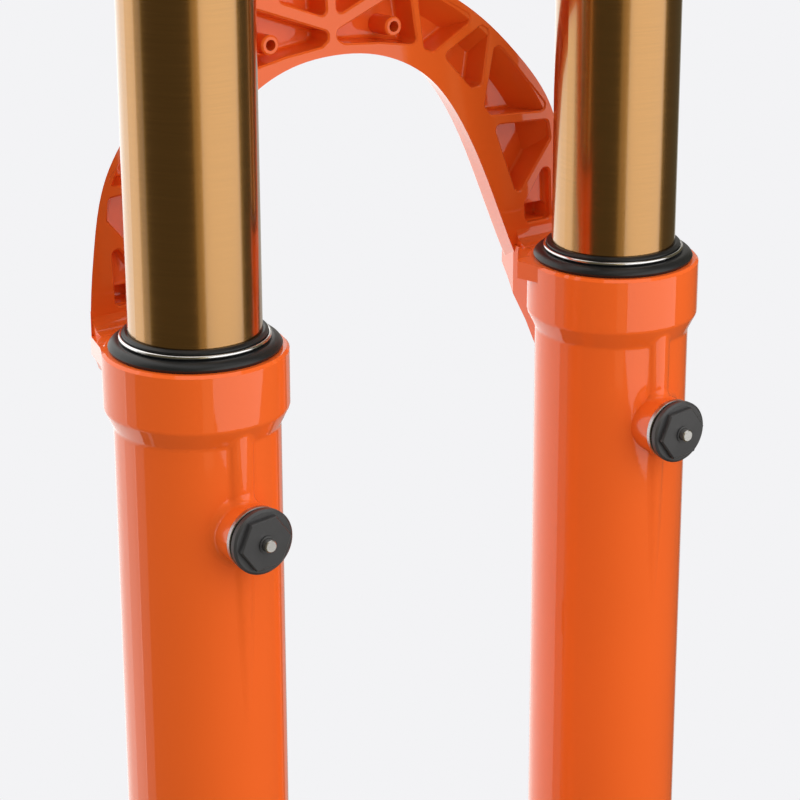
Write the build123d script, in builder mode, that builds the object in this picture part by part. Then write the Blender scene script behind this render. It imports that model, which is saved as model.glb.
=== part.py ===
from build123d import *
import os
from math import cos, radians, sin

# A single-crown suspension fork for a mountain bicycle, shown fully extended.
# Origin: on the steerer axis, at the crown race seat. +Z runs up the steerer, the bicycle
# travels towards -Y and +X is the rider's left. Millimetres.
# The left stanchion holds the air spring and the right one holds the damper.

os.makedirs("parts", exist_ok=True)

# ---------------------------------------------------------------- driving dimensions
LEG_X = 75.0  # half the distance between the stanchion axes
LEG_Y = -22.0  # stanchion axes ahead of the steerer axis
STANCHION_R = 19.0
STANCHION_BORE_R = 16.4
STANCHION_TOP = -9.0
STANCHION_END = -388.0
TRAVEL = 170.0

CROWN_LEG_TOP = -8.0
CROWN_LEG_BOTTOM = -52.0
CROWN_SOCKET_R = 24.5
CROWN_HUB_R = 27.0
CROWN_HUB_BOTTOM = -42.0

STEERER_R = 14.3  # 28.6 mm upper bearing size
STEERER_BASE_R = 19.05  # 38.1 mm taper
RACE_SEAT_R = 19.9  # 39.8 mm crown race
RACE_SEAT_HEIGHT = 6.0
STEERER_TOP = 230.0

COLLAR_Z = -238.0  # top faces of the lower legs, with the fork extended
COLLAR_R = 26.4
COLLAR_STRAIGHT = 17.0
COLLAR_END = COLLAR_Z - 22.5  # where the collar has narrowed to the barrel
LEG_R = 23.75
LEG_FOOT = -586.0
BLEND_R = 2.5  # casting fillets
SEAL_SEAT_R = 22.0
BUSHING_SEAT_R = 20.4
LEG_BORE_R = 19.6
LEG_BORE_FLOOR = STANCHION_END - TRAVEL - 8.0
RUNNING_GAP = 0.06  # radial gap of every sliding fit
SEAT_GAP = 0.03  # radial gap of a seal or bushing in its seat

ARCH_Y = LEG_Y - 36.8  # back of the arch where it meets the collars
ARCH_LEAN = 4.0  # degrees, forward
ARCH_DEPTH = 14.0
POCKET_DEPTH = 9.5
ARCH_WALL = 1.8  # least thickness kept between the pockets and the outer wall
FENDER_X = 22.0
FENDER_HEIGHT = 71.2
FENDER_BOSS_R = 3.0
FENDER_HOLE_R = 1.65  # tapping drill for M4

AXLE_Y = -44.0
AXLE_Z = -582.0
AXLE_R = 7.5
DROPOUT_INNER = 55.0  # half of a 110 mm hub
DROPOUT_OUTER = 90.0
DROPOUT_R = 16.0

BLEEDER_Z = COLLAR_Z - 48.0
BLEEDER_R = 9.65
BLEEDER_PRESS = 1.5
BLEEDER_PIN_R = 1.85
BOSS_R = 9.1
BOSS_FACE = 29.6  # from the leg's axis to the rear face of the bleeder boss
WASHER_FACE = BOSS_FACE + 1.6
FLANGE_FACE = WASHER_FACE + 3.1
HEX_FACE = FLANGE_FACE + 1.6
PIN_END = HEX_FACE + 2.3

BRAKE_X = 46.0
BRAKE_FACE_Y = 5.0
BRAKE_LOWER_Z = AXLE_Z + 47.0
BRAKE_SPACING = 74.2  # post mount
BRAKE_HOLE_R = 2.5  # tapping drill for M6

PAD_Y = -47.0  # face of the hose guide's pad, on the front of the left leg
PAD_Z = -420.0

SIDES = {"left": 1, "right": -1}
LEFT = SIDES["left"]
RIGHT = SIDES["right"]

arch_back = Plane(
    origin=(0, ARCH_Y, COLLAR_Z),
    x_dir=(1, 0, 0),
    z_dir=(0, -cos(radians(ARCH_LEAN)), -sin(radians(ARCH_LEAN))),
)


# ---------------------------------------------------------------- helpers
def leg_plane(side):
    """Upright plane through one leg's axis: local x is +X, local y is +Z."""
    return Plane(origin=(side * LEG_X, LEG_Y, 0), x_dir=(1, 0, 0), z_dir=(0, -1, 0))


def leg_axis(side):
    """The centre line of one leg."""
    return Axis((side * LEG_X, LEG_Y, 0), (0, 0, 1))


def bleeder_plane(side, height=BLEEDER_Z):
    """Level plane through a bleeder's axis: local x is +X, local y points to the rear."""
    return Plane(origin=(side * LEG_X, LEG_Y, height), x_dir=(1, 0, 0), z_dir=(0, 0, 1))


def bleeder_axis(side):
    """The centre line of one bleeder, which points to the rear."""
    return Axis((side * LEG_X, LEG_Y, BLEEDER_Z), (0, 1, 0))


def face(plane, *points):
    """A closed flat face from the corners of its outline."""
    with BuildSketch(plane) as flat:
        with BuildLine():
            Polyline(*points, close=True)
        make_face()
    return flat.sketch


def band(r_in, r_out, z_low, z_high):
    """Corners of a ring's section, as radius and height."""
    return [(r_in, z_low), (r_out, z_low), (r_out, z_high), (r_in, z_high)]


def on_leg(side, points):
    """Turn an outline of (radius, height) about a leg's axis."""
    return revolve(face(leg_plane(side), *points), axis=leg_axis(side))


def on_bleeder(side, points):
    """Turn an outline of (radius, distance to the rear) about a bleeder's axis."""
    return revolve(face(bleeder_plane(side), *points), axis=bleeder_axis(side))


def save(builder, label):
    """Name a finished piece and write it as its own file."""
    builder.part.label = label
    export_step(builder.part, f"parts/{label}.step")


# ---------------------------------------------------------------- steerer and crown
with BuildPart() as steerer_tube:
    bore = STEERER_R - 2.5
    with BuildSketch(Plane.XZ):
        with BuildLine():
            Polyline(
                (bore, STEERER_TOP),
                (STEERER_R, STEERER_TOP),
                (STEERER_R, 80),
                (STEERER_BASE_R, 22),
                (STEERER_BASE_R, RACE_SEAT_HEIGHT),
                (RACE_SEAT_R, RACE_SEAT_HEIGHT),
                (RACE_SEAT_R, 0),
                (STEERER_BASE_R, 0),
                (STEERER_BASE_R, CROWN_HUB_BOTTOM),
                (STEERER_BASE_R - 3.5, CROWN_HUB_BOTTOM),
                (STEERER_BASE_R - 3.5, 18),
                (bore, 84),
                close=True,
            )
        make_face()
    revolve(axis=Axis.Z)
save(steerer_tube, "steerer_tube")

with BuildPart() as crown:
    # plan: the hub and both sockets wrapped by straight flanks
    with BuildSketch(Plane.XY.offset(CROWN_LEG_BOTTOM)):
        with Locations((0, 0)):
            Circle(CROWN_HUB_R)
        with Locations((LEG_X, LEG_Y), (-LEG_X, LEG_Y)):
            Circle(CROWN_SOCKET_R)
        make_hull()
    extrude(amount=-CROWN_LEG_BOTTOM)
    # front view: shoulders fall to the sockets and the underside is arched
    with BuildSketch(Plane.XZ):
        with BuildLine():
            Polyline(
                (0, 0),
                (29, 0),
                (50, CROWN_LEG_TOP),
                (110, CROWN_LEG_TOP),
                (110, CROWN_LEG_BOTTOM),
                (53, CROWN_LEG_BOTTOM),
            )
            ThreePointArc((53, CROWN_LEG_BOTTOM), (43, -45), (31, CROWN_HUB_BOTTOM))
            Line((31, CROWN_HUB_BOTTOM), (0, CROWN_HUB_BOTTOM))
            mirror(about=Plane.YZ)
        make_face()
    extrude(amount=80, both=True, mode=Mode.INTERSECT)
    fillet(crown.edges().filter_by(GeomType.PLANE, reverse=True).group_by(Axis.Z)[-1], 1.5)
    # relief pockets between the hub and the sockets
    for side in SIDES.values():
        with BuildSketch(Plane.XY.offset(CROWN_LEG_BOTTOM)):
            with BuildLine():
                Polyline(
                    (side * 27, 8), (side * 52, -3), (side * 46, -22), (side * 30, -20), close=True
                )
            make_face()
            fillet(vertices(), 4)
        extrude(amount=30, mode=Mode.SUBTRACT)
    with Locations((0, 0, 0)):
        Hole(STEERER_BASE_R, depth=60)
    with Locations((LEG_X, LEG_Y, 0), (-LEG_X, LEG_Y, 0)):
        Hole(STANCHION_R, depth=60)
save(crown, "crown")

# ---------------------------------------------------------------- stanchions
for name, side in SIDES.items():
    with BuildPart() as stanchion:
        on_leg(side, band(STANCHION_BORE_R, STANCHION_R, STANCHION_END, STANCHION_TOP))
        chamfer(stanchion.edges().filter_by(GeomType.CIRCLE).group_by(Axis.Z)[0], 0.8)
    save(stanchion, f"stanchion_{name}")

# ---------------------------------------------------------------- the lower leg casting
# One casting on the bicycle, modelled as the arch and the two legs, which meet at PARTING_Y.
PARTING_Y = LEG_Y - 30.0
# The arch's outline on its back: width from the centre, height above the collars.
ARCH_INNER = [(0, 65.3), (19.6, 62.2), (34.5, 53.5), (46.7, 36.8), (57.5, 11.9), (64.8, -7), (73, -32)]
ARCH_OUTER = [(87, -32), (88.2, -5), (85.3, 20.4), (79.8, 40.5), (68.6, 56.2)]
ARCH_OUTER += [(46.5, 76.1), (24, 88.2), (0, 92)]
# The same outline on the narrower front of the arch.
FRONT_INNER = [(0, 68.8), (20.4, 66), (36.4, 57), (50.4, 37.8), (60.8, 12.4), (68.2, -7), (75, -32)]
FRONT_OUTER = [(79, -32), (77.6, -5), (75.2, 20), (70.4, 37), (61.4, 50.4)]
FRONT_OUTER += [(42.5, 68.6), (22.5, 79.4), (0, 82.8)]
FRONT_FILLET = 4.5

# Triangular pockets between the ribs, on one side of the arch.
ARCH_POCKETS = [
    [(1.8, 76.8), (20.5, 84.3), (14, 87.3), (1.8, 88.6)],
    [(1.6, 72.6), (27.4, 82.6), (28.6, 80), (30.4, 64.6), (17, 67), (4, 68.3), (1.6, 70)],
    [(31.2, 82.2), (40.5, 77.4), (50.3, 71.4), (50.4, 69), (36.4, 61.5), (33, 62.9)],
    [(40.1, 60), (50.2, 48.5), (54.1, 48.9), (57.5, 65.4), (54.8, 67.5)],
    [(60, 62), (78.6, 39.6), (77.6, 37.4), (57.4, 38.9), (54.9, 42.1)],
    [(58.4, 35.6), (79.4, 34.4), (80.2, 28.2), (67.9, 13), (65.9, 13.4)],
]
POCKET_CORNER = 1.7
POCKET_FLOOR_FILLET = 1.1
RIM_CHAMFER = 0.5
# A shallow recess at each root, with a deep slot along its foot.
ROOT_RECESS = [(69.2, 8.6), (79.4, 22.6), (79.4, 2.4), (69.6, 2.4)]
ROOT_RECESS_DEPTH = 3.0
ROOT_SLOT = [(69.6, 2.6), (69.6, 8.2), (79.2, 8.2), (79.2, 2.6)]
ROOT_SLOT_DEPTH = 8.0

# The shelf that joins each collar to its end of the arch: plan of its inner and outer edges.
SHELF_PLAN = [(50.4, LEG_Y + 3), (47.2, LEG_Y - 12), (65, LEG_Y - 35), (68, LEG_Y - 43)]
SHELF_PLAN += [(80, LEG_Y - 43), (88.2, LEG_Y - 36.9), (99, LEG_Y - 11), (98, LEG_Y + 3)]
SHELF_TOP = [(LEG_Y + 2.5, COLLAR_Z), (LEG_Y - 14, COLLAR_Z), (LEG_Y - 43, COLLAR_Z - 6)]
SHELF_BASE = [(LEG_Y - 43, COLLAR_Z - 13), (LEG_Y - 36.9, COLLAR_Z - 10.2)]
SHELF_BASE += [(LEG_Y - 14, COLLAR_Z - 5.5), (LEG_Y + 2.5, COLLAR_Z - 5)]
# The fillet that carries the back of the arch into the shelf: side view of its curve.
GUSSET_CURVE = [(ARCH_Y - 0.2, COLLAR_Z + 2.4), (ARCH_Y + 1.65, COLLAR_Z - 2.15)]
GUSSET_CURVE += [(ARCH_Y + 6.3, COLLAR_Z - 3.7)]

ROOT_UNDERSIDE = [(0, COLLAR_Z - 38), (LEG_Y - 37, COLLAR_Z - 20), (-200, COLLAR_Z + 26)]
ROOT_UNDERSIDE += [(-200, COLLAR_Z - 80), (0, COLLAR_Z - 80)]
ROOT_CORNER = [(95, COLLAR_Z - 7), (88, COLLAR_Z - 10.5), (84.5, COLLAR_Z - 14.5)]
ROOT_CORNER += [(78, COLLAR_Z - 24), (95, COLLAR_Z - 30)]

# The web under the shelf: plan of its outline and side view of its front.
WEB_PLAN = [(64, LEG_Y - 10), (64.5, LEG_Y - 37), (70.5, LEG_Y - 51), (77, LEG_Y - 51)]
WEB_PLAN += [(80.5, LEG_Y - 42), (83, LEG_Y - 10)]
WEB_FRONT = [(LEG_Y - 51, COLLAR_Z - 14), (LEG_Y - 44, COLLAR_Z - 16.5), (LEG_Y - 37, COLLAR_Z - 20)]
WEB_FRONT += [(LEG_Y - 30, COLLAR_Z - 27), (LEG_Y - 20, COLLAR_Z - 40)]


def upright(outline, low, high):
    """A prism with an outline drawn in plan, between two heights."""
    return extrude(face(Plane.XY.offset(low), *outline), amount=high - low, mode=Mode.PRIVATE)


def sideways(outline, reach=120.0):
    """A prism with an outline drawn from the side, as depth and height."""
    return extrude(face(Plane.YZ, *outline), amount=reach, both=True, mode=Mode.PRIVATE)


def arch_pocket(outline, depth):
    """One drafted pocket of the arch, with a rounded floor and a chamfered mouth."""
    with BuildPart(mode=Mode.PRIVATE) as pocket:
        with BuildSketch(arch_back) as mouth:
            with BuildLine():
                Polyline(*outline, close=True)
            make_face()
            fillet(vertices(), POCKET_CORNER)
        extrude(amount=depth, taper=3)
        floor = pocket.faces().sort_by(Axis((0, 0, 0), arch_back.z_dir))[-1]
        fillet(floor.edges(), POCKET_FLOOR_FILLET)
        # the arch narrows forward, so its sloped outer wall limits the pocket
        add(pocket_limit.part, mode=Mode.INTERSECT)
        with BuildSketch(arch_back):
            add(mouth.sketch_local)
            offset(amount=RIM_CHAMFER)
        extrude(amount=RIM_CHAMFER, taper=45)
    return pocket.part


with BuildPart() as half_blade:
    for plane, inner_edge, outer_edge in (
        (arch_back, ARCH_INNER, ARCH_OUTER),
        (arch_back.offset(ARCH_DEPTH), FRONT_INNER, FRONT_OUTER),
    ):
        with BuildSketch(plane):
            with BuildLine():
                Spline(*inner_edge, tangents=[(1, 0), (0.2, -0.94)])
                Line(inner_edge[-1], outer_edge[0])
                Spline(*outer_edge, tangents=[(0, 1), (-1, 0)])
                Line(outer_edge[-1], inner_edge[0])
            make_face()
    loft(ruled=True)

with BuildPart() as pocket_limit:
    with Locations((-ARCH_WALL, 0, -ARCH_WALL)):
        add(half_blade.part)

with BuildPart() as half_arch:
    add(half_blade.part)
    # the root ends in an underside that rises forward, rounded at its outer corner
    add(sideways(ROOT_UNDERSIDE), mode=Mode.SUBTRACT)
    extrude(face(Plane.XZ, *ROOT_CORNER), amount=100, mode=Mode.SUBTRACT)
    front = half_arch.faces().sort_by(Axis((0, 0, 0), arch_back.z_dir))[-1]
    fillet(front.edges().filter_by(GeomType.BSPLINE), FRONT_FILLET)

with BuildPart() as shelf:
    with BuildSketch(Plane.XY.offset(COLLAR_Z - 30)):
        with BuildLine():
            Polyline(*SHELF_PLAN, close=True)
        make_face()
        corners = vertices().sort_by(Axis.Y)
        fillet(corners[-2:], 1.5)
        fillet(corners[-4:-2], 8)
    extrude(amount=40)
    add(sideways(SHELF_TOP + SHELF_BASE), mode=Mode.INTERSECT)

with BuildPart() as web:
    web_back = [(0, WEB_FRONT[-1][1]), (0, COLLAR_Z - 4), (WEB_FRONT[0][0], COLLAR_Z - 4)]
    add(upright(WEB_PLAN, COLLAR_Z - 60, COLLAR_Z))
    add(sideways(WEB_FRONT + web_back), mode=Mode.INTERSECT)

with BuildPart() as fork_arch:
    add(half_arch.part)
    add(web.part)
    add(shelf.part)
    with BuildSketch(Plane.YZ.offset(65.5)):
        with BuildLine():
            ThreePointArc(*GUSSET_CURVE)
            Polyline(
                GUSSET_CURVE[-1],
                (GUSSET_CURVE[-1][0], COLLAR_Z - 7),
                (ARCH_Y - 1, COLLAR_Z - 7),
                (ARCH_Y - 1, GUSSET_CURVE[0][1]),
                GUSSET_CURVE[0],
            )
        make_face()
    extrude(amount=22)
    # behind the parting the shelf belongs to the leg
    split(bisect_by=Plane.XZ.offset(-PARTING_Y), keep=Keep.TOP)
    for outline in ARCH_POCKETS:
        add(arch_pocket(outline, POCKET_DEPTH), mode=Mode.SUBTRACT)
    add(arch_pocket(ROOT_RECESS, ROOT_RECESS_DEPTH), mode=Mode.SUBTRACT)
    add(arch_pocket(ROOT_SLOT, ROOT_SLOT_DEPTH), mode=Mode.SUBTRACT)
    # fender boss, standing in the second pocket
    with BuildSketch(arch_back):
        with Locations((FENDER_X, FENDER_HEIGHT)):
            Circle(FENDER_BOSS_R - 0.5)
    extrude(amount=0.5, taper=-45)
    with BuildSketch(arch_back.offset(0.5)):
        with Locations((FENDER_X, FENDER_HEIGHT)):
            Circle(FENDER_BOSS_R)
    extrude(amount=POCKET_DEPTH)
    with BuildSketch(arch_back):
        with Locations((FENDER_X, FENDER_HEIGHT)):
            Circle(FENDER_HOLE_R)
    extrude(amount=8, mode=Mode.SUBTRACT)
    mirror(about=Plane.YZ)
save(fork_arch, "fork_arch")

with BuildPart() as dropout:
    # side view: the axle boss wrapped together with the lower end of the leg
    with BuildSketch(Plane.YZ.offset(DROPOUT_INNER)):
        with Locations((AXLE_Y, AXLE_Z)):
            Circle(DROPOUT_R)
        with Locations((LEG_Y - 4, AXLE_Z + 52)):
            Circle(17)
        with Locations((LEG_Y - 1, LEG_FOOT + 14)):
            Circle(14)
        make_hull()
    extrude(amount=DROPOUT_OUTER - DROPOUT_INNER)
    fillet(dropout.edges().group_by(Axis.X)[-1], 5)
    fillet(dropout.edges().group_by(Axis.X)[0], 1)

with BuildPart() as plain_leg:
    # left leg: collar, barrel and foot
    with BuildSketch(leg_plane(LEFT)):
        with BuildLine():
            Polyline((0, COLLAR_Z), (COLLAR_R - 0.8, COLLAR_Z), (COLLAR_R, COLLAR_Z - 0.8))
            Line((COLLAR_R, COLLAR_Z - 0.8), (COLLAR_R, COLLAR_Z - COLLAR_STRAIGHT))
            Line((COLLAR_R, COLLAR_Z - COLLAR_STRAIGHT), (LEG_R, COLLAR_END))
            Polyline((LEG_R, COLLAR_END), (LEG_R, -500), (22.4, -562))
            TangentArc((22.4, -562), (12, LEG_FOOT), tangent=(-0.02, -1))
            Polyline((12, LEG_FOOT), (0, LEG_FOOT), (0, COLLAR_Z))
        make_face()
        fillet(vertices().sort_by_distance((LEG_R, COLLAR_END))[0], BLEND_R)
        fillet(vertices().sort_by_distance((COLLAR_R, COLLAR_Z - COLLAR_STRAIGHT))[0], BLEND_R)
    revolve(axis=leg_axis(LEFT))
    # bleeder boss and the air channels above and below it, blended into the barrel
    with BuildSketch(Plane.XY.offset(BLEEDER_Z)):
        with Locations((LEG_X, LEG_Y + 20.6)):
            Circle(4.9)
    extrude(amount=COLLAR_Z - BLEEDER_Z - 18)
    with BuildSketch(Plane.XY.offset(BLEEDER_Z)):
        with Locations((LEG_X, LEG_Y + 21)):
            Circle(4.2)
    with BuildSketch(Plane.XY.offset(BLEEDER_Z - 86)):
        with Locations((LEG_X, LEG_Y + 21.6)):
            Circle(1.6)
    loft()
    on_bleeder(LEFT, [(0, 5), (BOSS_R, 5), (BOSS_R, BOSS_FACE), (0, BOSS_FACE)])
    corners = plain_leg.edges().filter_by_position(Axis.Y, 0, 4.3)
    corners = corners.filter_by_position(Axis.X, LEG_X - BOSS_R, LEG_X + BOSS_R)
    fillet(corners.filter_by_position(Axis.Z, BLEEDER_Z - 90, COLLAR_END + 6), BLEND_R)

with BuildPart() as leg_bores:
    # seal and bushing seats, barrel, foot hole and its spot face
    on_leg(
        LEFT,
        [
            (0, COLLAR_Z + 1), (SEAL_SEAT_R, COLLAR_Z + 1), (SEAL_SEAT_R, COLLAR_Z - 15),
            (BUSHING_SEAT_R, COLLAR_Z - 15), (BUSHING_SEAT_R, COLLAR_Z - 160),
            (LEG_BORE_R, COLLAR_Z - 162), (LEG_BORE_R, LEG_BORE_FLOOR), (6, LEG_BORE_FLOOR),
            (6, LEG_FOOT), (11, LEG_FOOT), (11, LEG_FOOT - 20), (0, LEG_FOOT - 20),
        ],
    )
    # bleeder seat and its passage into the leg, which the pressed pin enters
    passage_r = BLEEDER_PIN_R + 0.5
    on_bleeder(
        LEFT,
        [
            (0, 10), (passage_r, 10), (passage_r, 23.9), (6, 23.9), (6, BOSS_FACE + 1),
            (0, BOSS_FACE + 1),
        ],
    )

with BuildPart() as casting_leg:
    add(plain_leg.part)
    add(dropout.part)
    add(web.part)
    add(shelf.part)
    box_centre = ((SHELF_PLAN[0][0] + SHELF_PLAN[-1][0]) / 2, PARTING_Y - 40, COLLAR_Z)
    with Locations(box_centre):
        Box(80, 80, 100, mode=Mode.SUBTRACT)

with BuildPart() as lower_leg_left:
    add(casting_leg.part)
    # rear brake posts, joined by a web
    post_heights = [BRAKE_LOWER_Z, BRAKE_LOWER_Z + BRAKE_SPACING]
    for height in post_heights:
        with BuildSketch(Plane.XY.offset(height - 9)):
            with Locations((BRAKE_X, BRAKE_FACE_Y - 8)):
                Circle(8)
            with Locations((64, LEG_Y + 8)):
                Circle(10)
            make_hull()
        extrude(amount=18)
    with BuildSketch(Plane.XY.offset(BRAKE_LOWER_Z)):
        with Locations((50, BRAKE_FACE_Y - 16)):
            Circle(3)
        with Locations((62, LEG_Y + 8)):
            Circle(6)
        make_hull()
    extrude(amount=BRAKE_SPACING)
    with BuildSketch(Plane.XZ.offset(-BRAKE_FACE_Y)):
        with Locations((BRAKE_X, BRAKE_LOWER_Z + BRAKE_SPACING / 2)):
            Rectangle(60, 2 * BRAKE_SPACING)
    extrude(amount=-12, mode=Mode.SUBTRACT)
    with BuildSketch(Plane.XZ.offset(-BRAKE_FACE_Y)):
        with Locations(*[(BRAKE_X, height) for height in post_heights]):
            Circle(BRAKE_HOLE_R)
    extrude(amount=15, mode=Mode.SUBTRACT)
    # pad and screw hole for the brake hose guide
    with BuildSketch(Plane.XZ.offset(-PAD_Y)):
        with Locations((LEG_X, PAD_Z)):
            RectangleRounded(14, 30, 3)
    extrude(amount=-8)
    with BuildSketch(Plane.XZ.offset(-PAD_Y)):
        with Locations((LEG_X, PAD_Z - 7)):
            Circle(FENDER_HOLE_R)
    extrude(amount=-4, mode=Mode.SUBTRACT)
    add(leg_bores.part, mode=Mode.SUBTRACT)
    # threaded seat of the axle
    with BuildSketch(Plane.YZ.offset(DROPOUT_INNER - 5)):
        with Locations((AXLE_Y, AXLE_Z)):
            Circle(AXLE_R + RUNNING_GAP)
    extrude(amount=50, mode=Mode.SUBTRACT)
save(lower_leg_left, "lower_leg_left")

with BuildPart() as lower_leg_right:
    add(mirror(casting_leg.part, about=Plane.YZ, mode=Mode.PRIVATE))
    # pinch lug under the dropout
    with BuildSketch(Plane.XY.offset(AXLE_Z - 25)):
        with Locations((-70, AXLE_Y)):
            RectangleRounded(16, 22, 2)
    extrude(amount=20)
    add(mirror(leg_bores.part, about=Plane.YZ, mode=Mode.PRIVATE), mode=Mode.SUBTRACT)
    # seat of the axle's floating sleeve, slotted so that it can be clamped
    with BuildSketch(Plane.YZ.offset(5 - DROPOUT_INNER)):
        with Locations((AXLE_Y, AXLE_Z)):
            Circle(AXLE_R + 2)
        with Locations((AXLE_Y, AXLE_Z - 20)):
            Rectangle(2, 40)
    extrude(amount=-50, mode=Mode.SUBTRACT)
    with BuildSketch(Plane.XZ.offset(-AXLE_Y - 20)):
        with Locations((-70, AXLE_Z - 18)):
            Circle(2.6)
    extrude(amount=40, mode=Mode.SUBTRACT)
save(lower_leg_right, "lower_leg_right")

# ---------------------------------------------------------------- seals and bushings of each leg
for name, side in SIDES.items():
    with BuildPart() as wiper_seal:
        lip_r = STANCHION_R + RUNNING_GAP
        with BuildSketch(leg_plane(side)):
            with BuildLine():
                Polyline(
                    (24.55, COLLAR_Z + 0.9),
                    (24.1, COLLAR_Z),
                    (SEAL_SEAT_R - SEAT_GAP, COLLAR_Z),
                    (SEAL_SEAT_R - SEAT_GAP, COLLAR_Z - 6),
                    (lip_r, COLLAR_Z - 6),
                    (lip_r, COLLAR_Z + 5.2),
                    (19.7, COLLAR_Z + 5.2),
                    (20.6, COLLAR_Z + 4.75),
                    (20.6, COLLAR_Z + 4.35),
                    (20.25, COLLAR_Z + 4.2),
                    (20.25, COLLAR_Z + 2.95),
                    (21.3, COLLAR_Z + 2.7),
                )
                ThreePointArc(
                    (21.3, COLLAR_Z + 2.7), (23.6, COLLAR_Z + 2.1), (24.55, COLLAR_Z + 0.9)
                )
            make_face()
        revolve(axis=leg_axis(side))
    save(wiper_seal, f"wiper_seal_{name}")

    with BuildPart() as garter_spring:
        with BuildSketch(leg_plane(side)):
            with Locations((20.95, COLLAR_Z + 3.55)):
                Circle(0.55)
        revolve(axis=leg_axis(side))
    save(garter_spring, f"garter_spring_{name}")

    with BuildPart() as foam_ring:
        on_leg(side, band(STANCHION_R + 0.35, SEAL_SEAT_R - SEAT_GAP, COLLAR_Z - 15, COLLAR_Z - 6))
    save(foam_ring, f"foam_ring_{name}")

    for level, low, high in (("upper", 40, 15.5), ("lower", 156, 130)):
        with BuildPart() as bushing:
            outer = BUSHING_SEAT_R - SEAT_GAP
            on_leg(side, band(STANCHION_R + RUNNING_GAP, outer, COLLAR_Z - low, COLLAR_Z - high))
            chamfer(bushing.edges().filter_by(GeomType.CIRCLE).sort_by(SortBy.RADIUS)[:2], 0.4)
        save(bushing, f"{level}_bushing_{name}")

# ---------------------------------------------------------------- bleeders
CHAMBER_R = 3.2
CHAMBER = (26.0, 32.0)  # spring chamber, as distances from the leg's axis
PIN_COLLAR = CHAMBER[1] - 1.0
PIN_COLLAR_END = PIN_COLLAR + 0.9
SPRING_COILS = 4
SPRING_R = (BLEEDER_PIN_R + CHAMBER_R) / 2

for name, side in SIDES.items():
    with BuildPart() as bleeder_washer:
        on_bleeder(side, band(6.05, BLEEDER_R - 0.3, BOSS_FACE, WASHER_FACE))
        rims = bleeder_washer.edges().filter_by(GeomType.CIRCLE)
        chamfer(rims.sort_by(SortBy.RADIUS)[-2:], 0.2)
    save(bleeder_washer, f"bleeder_washer_{name}")

    with BuildPart() as bleeder_oring:
        with BuildSketch(bleeder_plane(side)):
            with Locations((8.1, WASHER_FACE + 0.5)):
                Ellipse(1.05, 0.48)
        revolve(axis=bleeder_axis(side))
    save(bleeder_oring, f"bleeder_oring_{name}")

    with BuildPart() as bleeder_body:
        on_bleeder(
            side,
            [
                (0, 24.3), (5.95, 24.3), (5.95, WASHER_FACE + 1), (BLEEDER_R - 0.3, WASHER_FACE + 1),
                (BLEEDER_R, WASHER_FACE + 1.3), (BLEEDER_R, FLANGE_FACE - 0.5),
                (BLEEDER_R - 0.7, FLANGE_FACE), (0, FLANGE_FACE),
            ],
        )
        hex_plane = Plane(
            origin=(side * LEG_X, LEG_Y + FLANGE_FACE, BLEEDER_Z), x_dir=(1, 0, 0), z_dir=(0, 1, 0)
        )
        with BuildSketch(hex_plane):
            RegularPolygon(radius=8.3, side_count=6, rotation=6)
        extrude(amount=HEX_FACE - FLANGE_FACE)
        chamfer(bleeder_body.edges().group_by(Axis.Y)[-1], 0.35)
        with BuildSketch(hex_plane):
            Circle(2.6)
        extrude(amount=HEX_FACE - FLANGE_FACE + 0.4)
        # pin bore and spring chamber
        bore_section = face(
            bleeder_plane(side),
            (0, 24), (BLEEDER_PIN_R + 0.08, 24), (BLEEDER_PIN_R + 0.08, CHAMBER[0]),
            (CHAMBER_R, CHAMBER[0]), (CHAMBER_R, CHAMBER[1]), (BLEEDER_PIN_R + 0.08, CHAMBER[1]),
            (BLEEDER_PIN_R + 0.08, PIN_END), (0, PIN_END),
        )
        revolve(bore_section, axis=bleeder_axis(side), mode=Mode.SUBTRACT)
    save(bleeder_body, f"bleeder_body_{name}")

    with BuildPart() as bleeder_button:
        on_bleeder(
            side,
            [
                (0, 24.6), (BLEEDER_PIN_R, 24.6), (BLEEDER_PIN_R, PIN_COLLAR),
                (CHAMBER_R - 0.1, PIN_COLLAR), (CHAMBER_R - 0.1, PIN_COLLAR_END),
                (BLEEDER_PIN_R, PIN_COLLAR_END), (BLEEDER_PIN_R, PIN_END - 0.3),
                (BLEEDER_PIN_R - 0.3, PIN_END), (0, PIN_END),
            ],
        )
    save(bleeder_button, f"bleeder_button_{name}")

    with BuildPart() as bleeder_spring:
        # coils drawn as separate rings, spread between the chamber's floor and the pin's collar
        pitch = (PIN_COLLAR - BLEEDER_PRESS - 0.4 - CHAMBER[0] - 0.4) / (SPRING_COILS - 1)
        for coil in range(SPRING_COILS):
            with BuildSketch(bleeder_plane(side)):
                with Locations((SPRING_R, CHAMBER[0] + 0.4 + coil * pitch)):
                    Circle(0.3)
            revolve(axis=bleeder_axis(side))
    save(bleeder_spring, f"bleeder_spring_{name}")

# ---------------------------------------------------------------- air spring, left
CAP_SEAT = STANCHION_TOP
CAP_TOP = STANCHION_TOP + 4.5
PLUG_END = STANCHION_TOP - 15
PLUG_R = STANCHION_BORE_R - 0.05

with BuildPart() as air_top_cap:
    on_leg(
        LEFT,
        [
            (4.05, PLUG_END), (PLUG_R, PLUG_END), (PLUG_R, CAP_SEAT), (17.8, CAP_SEAT),
            (17.8, CAP_TOP - 0.8), (17, CAP_TOP), (4.05, CAP_TOP),
        ],
    )
    with BuildSketch(Plane.XY.offset(CAP_TOP)):
        with Locations((LEG_X, LEG_Y)):
            with PolarLocations(17.4, 8):
                Circle(1.6)
    extrude(amount=-2.5, mode=Mode.SUBTRACT)
save(air_top_cap, "air_top_cap")

with BuildPart() as air_valve:
    on_leg(
        LEFT,
        [(0, -20), (4, -20), (4, 9), (2.4, 9), (2.4, 4), (0.9, 4), (0.9, 8.2), (0, 8.2)],
    )
save(air_valve, "air_valve")

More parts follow.
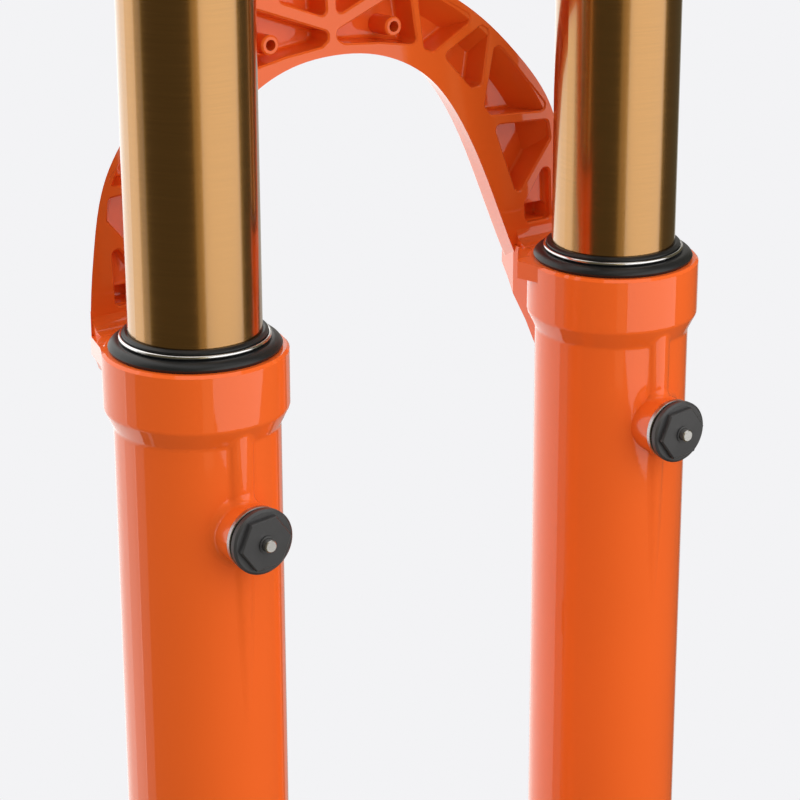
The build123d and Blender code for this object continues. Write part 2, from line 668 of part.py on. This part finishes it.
with BuildPart() as air_valve_cap:
    on_leg(
        LEFT,
        [
            (4.4, CAP_TOP + 0.3), (12, CAP_TOP + 0.3), (12, 6), (9.5, 10.5), (0, 12.5),
            (0, 9.8), (4.4, 9.8),
        ],
    )
    with BuildSketch(Plane.XY.offset(CAP_TOP)):
        with Locations((LEG_X, LEG_Y)):
            with PolarLocations(12.7, 12):
                Circle(1.2)
    extrude(amount=20, mode=Mode.SUBTRACT)
save(air_valve_cap, "air_valve_cap")

with BuildPart() as volume_spacers:
    for index in range(3):
        top = PLUG_END - 12 * index
        on_leg(LEFT, [(3, top - 12), (13, top - 12), (15.5, top - 10), (15.5, top), (3, top)])
save(volume_spacers, "volume_spacers")

SEAL_HEAD_LOW = STANCHION_END + 2
AIR_SHAFT_R = 5.0
AIR_PISTON_LOW = -352.0

with BuildPart() as air_seal_head:
    on_leg(
        LEFT,
        [
            (AIR_SHAFT_R + RUNNING_GAP, SEAL_HEAD_LOW), (PLUG_R, SEAL_HEAD_LOW),
            (PLUG_R, SEAL_HEAD_LOW + 8), (15, SEAL_HEAD_LOW + 8), (15, SEAL_HEAD_LOW + 11),
            (PLUG_R, SEAL_HEAD_LOW + 11), (PLUG_R, SEAL_HEAD_LOW + 20),
            (AIR_SHAFT_R + RUNNING_GAP, SEAL_HEAD_LOW + 20),
        ],
    )
save(air_seal_head, "air_seal_head")

with BuildPart() as seal_head_clips:
    for side in SIDES.values():
        on_leg(side, band(13, PLUG_R, SEAL_HEAD_LOW - 1.6, SEAL_HEAD_LOW))
save(seal_head_clips, "seal_head_clips")

with BuildPart() as air_shaft:
    on_leg(LEFT, band(3.5, AIR_SHAFT_R, LEG_FOOT + 2, AIR_PISTON_LOW))
save(air_shaft, "air_shaft")

with BuildPart() as air_piston:
    piston_r = STANCHION_BORE_R - RUNNING_GAP
    on_leg(
        LEFT,
        [
            (0, AIR_PISTON_LOW), (piston_r, AIR_PISTON_LOW), (piston_r, AIR_PISTON_LOW + 4.5),
            (13.5, AIR_PISTON_LOW + 4.5), (13.5, AIR_PISTON_LOW + 8.5),
            (piston_r, AIR_PISTON_LOW + 8.5), (piston_r, AIR_PISTON_LOW + 12),
            (14, AIR_PISTON_LOW + 14), (0, AIR_PISTON_LOW + 14),
        ],
    )
save(air_piston, "air_piston")

with BuildPart() as air_piston_seal:
    on_leg(LEFT, band(13.55, piston_r, AIR_PISTON_LOW + 4.6, AIR_PISTON_LOW + 8.4))
    chamfer(air_piston_seal.edges().filter_by(GeomType.CIRCLE), 0.5)
save(air_piston_seal, "air_piston_seal")

with BuildPart() as top_out_bumper:
    on_leg(LEFT, band(AIR_SHAFT_R + 0.05, 9, SEAL_HEAD_LOW + 20.3, AIR_PISTON_LOW))
    fillet(top_out_bumper.edges().filter_by(GeomType.CIRCLE).group_by(Axis.Z)[0][-1], 1.5)
save(top_out_bumper, "top_out_bumper")

with BuildPart() as bottom_out_bumper:
    on_leg(LEFT, band(8, 13, LEG_BORE_FLOOR, LEG_BORE_FLOOR + 6))
save(bottom_out_bumper, "bottom_out_bumper")

# ---------------------------------------------------------------- damper, right
CARTRIDGE_R = 14.5
CARTRIDGE_BORE_R = 13.3
DAMPER_ROD_R = 4.0
DAMPER_PISTON_LOW = -352.0
BASE_VALVE_TOP = -60.0

with BuildPart() as damper_top_cap:
    on_leg(
        RIGHT,
        [
            (3.05, PLUG_END - 16), (CARTRIDGE_BORE_R - 0.05, PLUG_END - 16),
            (CARTRIDGE_BORE_R - 0.05, PLUG_END), (PLUG_R, PLUG_END), (PLUG_R, CAP_SEAT),
            (17.8, CAP_SEAT), (17.8, CAP_TOP - 0.8), (17, CAP_TOP), (3.05, CAP_TOP),
        ],
    )
    with BuildSketch(Plane.XY.offset(CAP_TOP)):
        with Locations((-LEG_X, LEG_Y)):
            with PolarLocations(17.4, 8):
                Circle(1.6)
    extrude(amount=-2.5, mode=Mode.SUBTRACT)
save(damper_top_cap, "damper_top_cap")

with BuildPart() as damper_cartridge:
    on_leg(RIGHT, band(CARTRIDGE_BORE_R, CARTRIDGE_R, SEAL_HEAD_LOW + 12, PLUG_END))
save(damper_cartridge, "damper_cartridge")

with BuildPart() as base_valve:
    on_leg(
        RIGHT,
        [
            (0, BASE_VALVE_TOP - 12), (13.2, BASE_VALVE_TOP - 12), (13.2, BASE_VALVE_TOP),
            (3, BASE_VALVE_TOP), (3, CAP_TOP), (0, CAP_TOP),
        ],
    )
    # oil ports through the valve
    with BuildSketch(Plane.XY.offset(BASE_VALVE_TOP)):
        with Locations((-LEG_X, LEG_Y)):
            with PolarLocations(7.2, 6):
                Circle(1.4)
    extrude(amount=-12, mode=Mode.SUBTRACT)
save(base_valve, "base_valve")

with BuildPart() as damper_bladder:
    on_leg(RIGHT, band(9.2, 12.6, BASE_VALVE_TOP, PLUG_END - 16))
save(damper_bladder, "damper_bladder")

with BuildPart() as damper_seal_head:
    bore = DAMPER_ROD_R + RUNNING_GAP
    step = SEAL_HEAD_LOW + 12
    on_leg(
        RIGHT,
        [
            (bore, SEAL_HEAD_LOW), (PLUG_R, SEAL_HEAD_LOW), (PLUG_R, step),
            (CARTRIDGE_BORE_R - 0.05, step), (CARTRIDGE_BORE_R - 0.05, step + 14), (bore, step + 14),
        ],
    )
save(damper_seal_head, "damper_seal_head")

NUT_LOW = LEG_FOOT - 8.0

with BuildPart() as damper_rod:
    on_leg(RIGHT, band(1.6, DAMPER_ROD_R, NUT_LOW, DAMPER_PISTON_LOW + 14))
save(damper_rod, "damper_rod")

with BuildPart() as damper_piston:
    on_leg(
        RIGHT,
        [
            (DAMPER_ROD_R + 0.03, DAMPER_PISTON_LOW), (11.5, DAMPER_PISTON_LOW),
            (11.5, DAMPER_PISTON_LOW + 10), (DAMPER_ROD_R + 0.03, DAMPER_PISTON_LOW + 10),
        ],
    )
    with BuildSketch(Plane.XY.offset(DAMPER_PISTON_LOW)):
        with Locations((-LEG_X, LEG_Y)):
            with PolarLocations(7.5, 8):
                Circle(1.3)
    extrude(amount=10, mode=Mode.SUBTRACT)
save(damper_piston, "damper_piston")

with BuildPart() as damper_piston_band:
    glide_r = CARTRIDGE_BORE_R - RUNNING_GAP
    on_leg(RIGHT, band(11.53, glide_r, DAMPER_PISTON_LOW + 0.5, DAMPER_PISTON_LOW + 9.5))
save(damper_piston_band, "damper_piston_band")

# ---------------------------------------------------------------- foot fasteners and rebound knobs
with BuildPart() as air_foot_bolt:
    on_leg(LEFT, [(0, LEG_FOOT - 1), (3.45, LEG_FOOT - 1), (3.45, LEG_FOOT + 24), (0, LEG_FOOT + 24)])
    with BuildSketch(Plane.XY.offset(LEG_FOOT - 1)):
        with Locations((LEG_X, LEG_Y)):
            RegularPolygon(radius=8.6, side_count=6)
    extrude(amount=-6)
    chamfer(air_foot_bolt.edges().group_by(Axis.Z)[0], 0.6)
save(air_foot_bolt, "air_foot_bolt")

with BuildPart() as damper_foot_nut:
    with BuildSketch(Plane.XY.offset(LEG_FOOT - 1)):
        with Locations((-LEG_X, LEG_Y)):
            RegularPolygon(radius=8.6, side_count=6)
            Circle(DAMPER_ROD_R + 0.03, mode=Mode.SUBTRACT)
    extrude(amount=-6)
save(damper_foot_nut, "damper_foot_nut")

with BuildPart() as crush_washers:
    for side, shank in ((LEFT, 3.5), (RIGHT, DAMPER_ROD_R + 0.05)):
        on_leg(side, band(shank, 10.4, LEG_FOOT - 1, LEG_FOOT))
save(crush_washers, "crush_washers")


def knurled(side, points, count, depth_z, rim):
    """A turned knob with finger grooves around its rim."""
    on_leg(side, points)
    low, high = depth_z
    with BuildSketch(Plane.XY.offset(low)) as grooves:
        with Locations((side * LEG_X, LEG_Y)):
            with PolarLocations(rim + 0.5, count):
                Circle(1.1)
    extrude(grooves.sketch, amount=high - low, mode=Mode.SUBTRACT)


KNOB_GAP = 0.4
with BuildPart() as high_speed_rebound_knob:
    low = NUT_LOW - KNOB_GAP - 8
    knurled(RIGHT, band(5.0, 10, low, NUT_LOW - KNOB_GAP), 16, (low, NUT_LOW), 10)
save(high_speed_rebound_knob, "high_speed_rebound_knob")

with BuildPart() as low_speed_rebound_knob:
    low = NUT_LOW - KNOB_GAP - 12
    knurled(
        RIGHT,
        [(0, low), (4, low), (4.6, low + 0.6), (4.6, NUT_LOW - KNOB_GAP), (0, NUT_LOW - KNOB_GAP)],
        8,
        (low, low + 3.6),
        5,
    )
save(low_speed_rebound_knob, "low_speed_rebound_knob")

with BuildPart() as rebound_needle:
    on_leg(RIGHT, [(0, NUT_LOW - KNOB_GAP), (1.5, NUT_LOW - KNOB_GAP), (1.5, -352), (0, -346)])
save(rebound_needle, "rebound_needle")

# ---------------------------------------------------------------- compression knobs
KNOB_LOW = CAP_TOP + 0.3
with BuildPart() as high_speed_compression_knob:
    knurled(
        RIGHT,
        [(9.8, KNOB_LOW), (16.6, KNOB_LOW), (16.6, 3.4), (15.2, 5), (9.8, 5)],
        24,
        (KNOB_LOW, 6),
        16.6,
    )
save(high_speed_compression_knob, "high_speed_compression_knob")

with BuildPart() as low_speed_compression_knob:
    knurled(
        RIGHT,
        [(0, KNOB_LOW), (9.4, KNOB_LOW), (9.4, 9.2), (8.2, 10.5), (0, 10.5)],
        12,
        (5.4, 11),
        9.6,
    )
save(low_speed_compression_knob, "low_speed_compression_knob")

# ---------------------------------------------------------------- front axle and its clamp
axle_plane = Plane(origin=(0, AXLE_Y, AXLE_Z), x_dir=(1, 0, 0), z_dir=(0, 0, 1))
axle_line = Axis((0, AXLE_Y, AXLE_Z), (1, 0, 0))

with BuildPart() as thru_axle:
    head = -DROPOUT_OUTER - 0.3
    revolve(
        face(
            axle_plane,
            (head - 5, 4.2), (head - 5, 10), (head - 4, 11), (head, 11), (head, AXLE_R),
            (86.5, AXLE_R), (88, AXLE_R - 1.5), (88, 5), (head, 5), (head, 4.2),
        ),
        axis=axle_line,
    )
    with BuildSketch(Plane.YZ.offset(head - 5)):
        with Locations((AXLE_Y, AXLE_Z)):
            RegularPolygon(radius=6.9, side_count=6)
    extrude(amount=4, mode=Mode.SUBTRACT)
save(thru_axle, "thru_axle")

with BuildPart() as axle_sleeve:
    outer = AXLE_R + 2 - 0.04
    revolve(
        face(
            axle_plane,
            (-DROPOUT_OUTER, AXLE_R + RUNNING_GAP), (-DROPOUT_OUTER, outer),
            (-DROPOUT_INNER, outer), (-DROPOUT_INNER, AXLE_R + RUNNING_GAP),
        ),
        axis=axle_line,
    )
save(axle_sleeve, "axle_sleeve")

with BuildPart() as pinch_bolt:
    front = AXLE_Y - 11
    pinch_plane = Plane(origin=(-70, 0, AXLE_Z - 18), x_dir=(1, 0, 0), z_dir=(0, 0, 1))
    revolve(
        face(
            pinch_plane,
            (0, front - 5), (4, front - 5), (4.4, front - 4.4), (4.4, front), (2.5, front),
            (2.5, AXLE_Y + 11), (0, AXLE_Y + 11),
        ),
        axis=Axis((-70, 0, AXLE_Z - 18), (0, 1, 0)),
    )
    with BuildSketch(Plane.XZ.offset(5 - front)):
        with Locations((-70, AXLE_Z - 18)):
            RegularPolygon(radius=2.4, side_count=6)
    extrude(amount=-3, mode=Mode.SUBTRACT)
save(pinch_bolt, "pinch_bolt")

# ---------------------------------------------------------------- brake hose guide, front of the left leg
with BuildPart() as hose_guide:
    with BuildSketch(Plane.XZ.offset(-PAD_Y)):
        with Locations((LEG_X, PAD_Z)):
            RectangleRounded(12, 28, 3)
    extrude(amount=3)
    with BuildSketch(Plane.XY.offset(PAD_Z + 3)):
        with Locations((LEG_X, PAD_Y - 7.2)):
            Circle(5)
            Circle(2.7, mode=Mode.SUBTRACT)
            with Locations((0, -4)):
                Rectangle(3, 5, mode=Mode.SUBTRACT)
    extrude(amount=10)
    with BuildSketch(Plane.XZ.offset(3 - PAD_Y)):
        with Locations((LEG_X, PAD_Z - 7)):
            Circle(2.1)
    extrude(amount=-4, mode=Mode.SUBTRACT)
save(hose_guide, "hose_guide")

with BuildPart() as hose_guide_screw:
    screw_face = PAD_Y - 3
    revolve(
        face(
            Plane(origin=(LEG_X, 0, PAD_Z - 7), x_dir=(1, 0, 0), z_dir=(0, 0, 1)),
            (0, screw_face - 2.6), (3, screw_face - 2.6), (3.6, screw_face - 1.6),
            (3.6, screw_face), (1.6, screw_face), (1.6, PAD_Y + 3.5), (0, PAD_Y + 3.5),
        ),
        axis=Axis((LEG_X, 0, PAD_Z - 7), (0, 1, 0)),
    )
    with BuildSketch(Plane.XZ.offset(2.6 - screw_face)):
        with Locations((LEG_X, PAD_Z - 7)):
            RegularPolygon(radius=1.7, side_count=6)
    extrude(amount=-1.6, mode=Mode.SUBTRACT)
save(hose_guide_screw, "hose_guide_screw")
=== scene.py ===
from math import cos, pi, radians, sin, tan

import bpy
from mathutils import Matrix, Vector


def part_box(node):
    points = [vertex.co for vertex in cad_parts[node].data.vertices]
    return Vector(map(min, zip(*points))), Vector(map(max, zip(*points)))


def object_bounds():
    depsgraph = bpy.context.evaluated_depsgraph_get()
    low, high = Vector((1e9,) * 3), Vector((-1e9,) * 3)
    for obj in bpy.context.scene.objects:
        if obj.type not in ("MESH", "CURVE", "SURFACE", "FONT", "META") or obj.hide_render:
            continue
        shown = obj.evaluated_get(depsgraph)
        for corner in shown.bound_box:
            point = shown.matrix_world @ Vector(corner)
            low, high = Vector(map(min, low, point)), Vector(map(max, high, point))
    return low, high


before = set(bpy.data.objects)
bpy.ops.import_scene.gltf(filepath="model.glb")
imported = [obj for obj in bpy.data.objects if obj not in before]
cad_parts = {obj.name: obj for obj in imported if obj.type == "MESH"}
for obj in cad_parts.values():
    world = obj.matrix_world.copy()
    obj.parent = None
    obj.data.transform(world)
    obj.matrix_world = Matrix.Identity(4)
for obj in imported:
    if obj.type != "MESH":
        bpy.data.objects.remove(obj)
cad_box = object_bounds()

# The fork stands on the row frame: +Z up the steerer, -Y forward, +X the rider's left. Metres.
MM = 0.001
stanchion_low, stanchion_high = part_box("stanchion_left")
LEG_Y = (stanchion_low.y + stanchion_high.y) / 2
FLOOR_Z = cad_box[0].z

# ---------------------------------------------------------------- camera
CAMERA_AT = Vector((0.4548, 0.6251, 0.0169))
CAMERA_AZIMUTH = 34.79  # degrees from +Y towards +X
CAMERA_ELEVATION = 19.93
CAMERA_ROLL = -0.17
SENSOR = 36.0
LENS = 126.8


def direction(azimuth, elevation):
    """Unit vector at an azimuth from +Y towards +X, and an elevation, in degrees."""
    level = cos(radians(elevation))
    return Vector((
        sin(radians(azimuth)) * level,
        cos(radians(azimuth)) * level,
        sin(radians(elevation)),
    ))


def add_camera():
    """The camera, looking down at the backs of both legs."""
    data = bpy.data.cameras.new("camera")
    data.lens = LENS
    data.sensor_width = SENSOR
    data.clip_start = 0.01
    camera = bpy.data.objects.new("camera", data)
    bpy.context.scene.collection.objects.link(camera)
    back = direction(CAMERA_AZIMUTH, CAMERA_ELEVATION)
    camera.location = CAMERA_AT
    camera.rotation_mode = "QUATERNION"
    aim = back.to_track_quat("Z", "Y")
    camera.rotation_quaternion = aim
    camera.rotation_mode = "XYZ"
    camera.rotation_euler.rotate_axis("Z", radians(CAMERA_ROLL))
    bpy.context.scene.camera = camera


# ---------------------------------------------------------------- studio
PALE = (0.896, 0.896, 0.913, 1.0)
FLOOR_GAP = 0.5 * MM  # the floor lies this far under the fork


def mix_by_ray(nodes, links, ray, plain, other):
    """A shader that is `other` for that kind of ray and `plain` for every other one."""
    path = nodes.new("ShaderNodeLightPath")
    mix = nodes.new("ShaderNodeMixShader")
    links.new(path.outputs[ray], mix.inputs[0])
    links.new(plain.outputs[0], mix.inputs[1])
    links.new(other.outputs[0], mix.inputs[2])
    return mix


def add_world():
    """Even soft light from all round, dark in reflections so that the softboxes shape them."""
    world = bpy.data.worlds.new("studio")
    bpy.context.scene.world = world
    world.use_nodes = True
    nodes, links = world.node_tree.nodes, world.node_tree.links
    nodes.clear()
    shades = {}
    for name, colour, strength in (
        ("fill", (1.0, 0.98, 0.96, 1.0), 0.79),
        ("seen", PALE, 1.0),
        ("mirrored", (1.0, 0.86, 0.5, 1.0), 0.1),
    ):
        shades[name] = nodes.new("ShaderNodeBackground")
        shades[name].inputs["Color"].default_value = colour
        shades[name].inputs["Strength"].default_value = strength
    seen = mix_by_ray(nodes, links, "Is Camera Ray", shades["fill"], shades["seen"])
    final = mix_by_ray(nodes, links, "Is Glossy Ray", seen, shades["mirrored"])
    links.new(final.outputs[0], nodes.new("ShaderNodeOutputWorld").inputs["Surface"])


def add_floor():
    """A wide pale floor at the fork's lowest point. Reflections look through it, so that the
    softboxes that reach below it still show low on the legs."""
    size = 8.0
    mesh = bpy.data.meshes.new("floor")
    square = ((-1, -1), (1, -1), (1, 1), (-1, 1))
    corners = [(x * size, y * size, FLOOR_Z - FLOOR_GAP) for x, y in square]
    mesh.from_pydata(corners, [], [(0, 1, 2, 3)])
    floor = bpy.data.objects.new("floor", mesh)
    bpy.context.scene.collection.objects.link(floor)
    material = bpy.data.materials.new("studio_floor")
    material.use_nodes = True
    nodes, links = material.node_tree.nodes, material.node_tree.links
    nodes.clear()
    pale = nodes.new("ShaderNodeEmission")
    pale.inputs["Color"].default_value = PALE
    matte = nodes.new("ShaderNodeBsdfDiffuse")
    matte.inputs["Color"].default_value = (0.3, 0.3, 0.31, 1.0)
    absent = nodes.new("ShaderNodeBsdfTransparent")
    seen = mix_by_ray(nodes, links, "Is Camera Ray", matte, pale)
    final = mix_by_ray(nodes, links, "Is Glossy Ray", seen, absent)
    links.new(final.outputs[0], nodes.new("ShaderNodeOutputMaterial").inputs["Surface"])
    mesh.materials.append(material)


def softbox(name, bearing, distance, spread, low, high, radiance, colour=(1.0, 1.0, 1.0)):
    """An upright light panel round the fork. bearing is in degrees from the camera's side
    towards its right, spread the angle that the panel fills, low and high its edges."""
    width = 2 * distance * tan(radians(spread / 2))
    data = bpy.data.lights.new(name, "AREA")
    data.shape = "RECTANGLE"
    data.size = width
    data.size_y = high - low
    data.energy = radiance * pi * width * (high - low)
    data.color = colour
    panel = bpy.data.objects.new(name, data)
    bpy.context.scene.collection.objects.link(panel)
    outward = direction(CAMERA_AZIMUTH - bearing, 0)
    panel.location = Vector((0, LEG_Y, (low + high) / 2)) + outward * distance
    panel.rotation_euler = outward.to_track_quat("Z", "Y").to_euler()
    panel.visible_camera = False


def overhead(name, height, size, radiance):
    """A level light panel above the fork."""
    data = bpy.data.lights.new(name, "AREA")
    data.shape = "SQUARE"
    data.size = size
    data.energy = radiance * pi * size * size
    panel = bpy.data.objects.new(name, data)
    bpy.context.scene.collection.objects.link(panel)
    panel.location = (0, LEG_Y, height)
    panel.visible_camera = False


def add_lights():
    softbox("softbox_right", 56, 0.9, 72, FLOOR_Z - 0.03, 0.9, 1.25)
    softbox("softbox_right_edge", 13, 0.9, 13, FLOOR_Z + 0.01, 0.9, 0.4, (1.0, 0.78, 0.4))
    softbox("softbox_left", -134, 0.6, 92, FLOOR_Z - 0.5, 0.9, 1.2)
    softbox("softbox_left_edge", -80, 0.6, 16, FLOOR_Z - 0.5, 0.9, 0.45)
    softbox("softbox_back", 165, 0.6, 30, FLOOR_Z - 0.5, 0.9, 0.35)
    overhead("softbox_top", 1.2, 1.4, 0.9)


# ---------------------------------------------------------------- materials
# The middle range of a noise, which holds nearly all of its values.
NOISE_LOW = 0.3
NOISE_HIGH = 0.7


def new_material(name, colour, **sockets):
    """A Principled material. Values that are the same all over sit on the shader's own sockets."""
    material = bpy.data.materials.new(name)
    material.use_nodes = True
    nodes, links = material.node_tree.nodes, material.node_tree.links
    shader = nodes["Principled BSDF"]
    shader.inputs["Base Color"].default_value = (*colour, 1.0)
    for socket, value in sockets.items():
        shader.inputs[socket.replace("_", " ")].default_value = value
    return material, nodes, links, shader


def grain(nodes, links, scale, stretch=(1, 1, 1), detail=3.0, roughness=0.5):
    """Noise in the object's own coordinates, stretched along an axis by a scale under 1."""
    where = nodes.new("ShaderNodeTexCoord")
    mapping = nodes.new("ShaderNodeMapping")
    mapping.inputs["Scale"].default_value = stretch
    noise = nodes.new("ShaderNodeTexNoise")
    noise.inputs["Scale"].default_value = scale
    noise.inputs["Detail"].default_value = detail
    noise.inputs["Roughness"].default_value = roughness
    links.new(where.outputs["Object"], mapping.inputs["Vector"])
    links.new(mapping.outputs["Vector"], noise.inputs["Vector"])
    return noise.outputs["Fac"]


def drive(nodes, links, factor, low, high, socket):
    """Spread a noise's middle range over low..high on a number socket."""
    spread = nodes.new("ShaderNodeMapRange")
    spread.inputs["From Min"].default_value = NOISE_LOW
    spread.inputs["From Max"].default_value = NOISE_HIGH
    spread.inputs["To Min"].default_value = low
    spread.inputs["To Max"].default_value = high
    links.new(factor, spread.inputs["Value"])
    links.new(spread.outputs["Result"], socket)


def tint(nodes, links, factor, dark, light, socket):
    """Colour that varies between two close shades."""
    mix = nodes.new("ShaderNodeMix")
    mix.data_type = "RGBA"
    mix.inputs["A"].default_value = (*dark, 1.0)
    mix.inputs["B"].default_value = (*light, 1.0)
    spread = nodes.new("ShaderNodeMapRange")
    spread.inputs["From Min"].default_value = NOISE_LOW
    spread.inputs["From Max"].default_value = NOISE_HIGH
    links.new(factor, spread.inputs["Value"])
    links.new(spread.outputs["Result"], mix.inputs["Factor"])
    links.new(mix.outputs["Result"], socket)


def emboss(nodes, links, factor, depth, shader, coat=False):
    """Bump from a noise; depth is in metres."""
    bump = nodes.new("ShaderNodeBump")
    bump.inputs["Strength"].default_value = 1.0
    bump.inputs["Distance"].default_value = depth
    links.new(factor, bump.inputs["Height"])
    links.new(bump.outputs["Normal"], shader.inputs["Normal"])
    if coat:
        links.new(bump.outputs["Normal"], shader.inputs["Coat Normal"])


def shades(colour, spread):
    """Two shades round a colour, darker and lighter by a share."""
    dark = tuple(c * (1 - spread) for c in colour)
    light = tuple(min(1.0, c * (1 + spread)) for c in colour)
    return dark, light


def gloss_paint(name, colour):
    """Sprayed and clear-coated paint over a casting: a trace of orange peel under a hard gloss."""
    material, nodes, links, shader = new_material(
        name,
        colour,
        Roughness=0.5,
        Specular_IOR_Level=0.1,
        Coat_Weight=1.0,
        Coat_Roughness=0.035,
        Coat_IOR=1.5,
    )
    broad = grain(nodes, links, 14.0, detail=2.0)
    tint(nodes, links, broad, *shades(colour, 0.025), shader.inputs["Base Color"])
    emboss(nodes, links, grain(nodes, links, 420.0, detail=1.0), 0.004 * MM, shader, coat=True)
    return material


def anodised(name, colour, roughness, coat=0.0, spread=0.05):
    """Dyed anodising on machined aluminium, with fine lines from the tool round each part."""
    material, nodes, links, shader = new_material(
        name, colour, Metallic=1.0, Coat_Weight=coat, Coat_Roughness=0.07, Coat_IOR=1.5
    )
    lines = grain(nodes, links, 60.0, stretch=(1, 1, 60), detail=3.0)
    tint(nodes, links, lines, *shades(colour, spread), shader.inputs["Base Color"])
    drive(nodes, links, lines, roughness * 0.85, roughness * 1.15, shader.inputs["Roughness"])
    emboss(nodes, links, lines, 0.0008 * MM, shader)
    return material


def bare_metal(name, colour, roughness):
    """Turned or drawn metal with fine lines."""
    return anodised(name, colour, roughness, spread=0.08)


def rubber(name, colour, roughness, scale=900.0):
    """Moulded rubber: matt, with a fine grain and a faint bloom."""
    material, nodes, links, shader = new_material(name, colour, Specular_IOR_Level=0.45)
    bloom = grain(nodes, links, 45.0, detail=4.0)
    tint(nodes, links, bloom, *shades(colour, 0.25), shader.inputs["Base Color"])
    drive(nodes, links, bloom, roughness * 0.85, roughness * 1.15, shader.inputs["Roughness"])
    emboss(nodes, links, grain(nodes, links, scale, detail=2.0), 0.01 * MM, shader)
    return material


def coated_black(name, colour, roughness):
    """Black oxide or satin coating on steel or alloy, with a fine grain."""
    material, nodes, links, shader = new_material(name, colour, Metallic=0.35)
    patches = grain(nodes, links, 80.0, detail=4.0)
    tint(nodes, links, patches, *shades(colour, 0.15), shader.inputs["Base Color"])
    drive(nodes, links, patches, roughness * 0.85, roughness * 1.2, shader.inputs["Roughness"])
    emboss(nodes, links, grain(nodes, links, 1500.0, detail=1.0), 0.002 * MM, shader)
    return material


def moulded_plastic(name, colour, roughness):
    """Plain moulded plastic with a spark-eroded grain."""
    material, nodes, links, shader = new_material(name, colour)
    specks = grain(nodes, links, 700.0, detail=3.0)
    tint(nodes, links, specks, *shades(colour, 0.06), shader.inputs["Base Color"])
    drive(nodes, links, specks, roughness * 0.9, roughness * 1.1, shader.inputs["Roughness"])
    emboss(nodes, links, specks, 0.01 * MM, shader)
    return material


def foam(name, colour):
    """Open-cell foam, soaked with oil."""
    material, nodes, links, shader = new_material(name, colour, Roughness=0.8)
    cells = nodes.new("ShaderNodeTexVoronoi")
    cells.inputs["Scale"].default_value = 1400.0
    where = nodes.new("ShaderNodeTexCoord")
    links.new(where.outputs["Object"], cells.inputs["Vector"])
    dark, light = shades(colour, 0.4)
    tint(nodes, links, cells.outputs["Distance"], light, dark, shader.inputs["Base Color"])
    emboss(nodes, links, cells.outputs["Distance"], 0.15 * MM, shader)
    return material


def paint_nodes():
    """Give every CAD node the finish of its slot in the record."""
    finishes = {
        "fork_paint": gloss_paint("fork_paint_finish", (0.88, 0.128, 0.0135)),
        "gold_anodised": anodised("gold_anodised_finish", (0.52, 0.27, 0.085), 0.22, coat=1.0),
        "black_anodised": anodised("black_anodised_finish", (0.035, 0.035, 0.038), 0.32, spread=0.1),
        "blue_anodised": anodised("blue_anodised_finish", (0.02, 0.09, 0.42), 0.25),
        "knob_black": anodised("knob_black_finish", (0.045, 0.045, 0.05), 0.3),
        "seal_rubber": rubber("seal_rubber_finish", (0.012, 0.013, 0.014), 0.36),
        "spring_steel": bare_metal("spring_steel_finish", (0.85, 0.84, 0.84), 0.18),
        "bleeder_black": coated_black("bleeder_black_finish", (0.062, 0.062, 0.064), 0.36),
        "turned_aluminium": bare_metal("turned_aluminium_finish", (0.5, 0.5, 0.52), 0.3),
        "pin_steel": bare_metal("pin_steel_finish", (0.72, 0.71, 0.7), 0.33),
        "bolt_steel": coated_black("bolt_steel_finish", (0.06, 0.06, 0.065), 0.38),
        "oil_foam": foam("oil_foam_finish", (0.42, 0.36, 0.2)),
        "bushing_liner": moulded_plastic("bushing_liner_finish", (0.2, 0.24, 0.21), 0.5),
        "bumper_elastomer": rubber("bumper_elastomer_finish", (0.03, 0.03, 0.03), 0.6),
        "spacer_plastic": moulded_plastic("spacer_plastic_finish", (0.72, 0.3, 0.04), 0.4),
        "valve_brass": bare_metal("valve_brass_finish", (0.62, 0.44, 0.18), 0.25),
    }
    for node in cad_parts.values():
        for slot in node.material_slots:
            slot.material = finishes[slot.material.name.split(".")[0]]


bpy.context.scene.view_settings.view_transform = "Standard"
add_camera()
add_world()
add_floor()
add_lights()
paint_nodes()
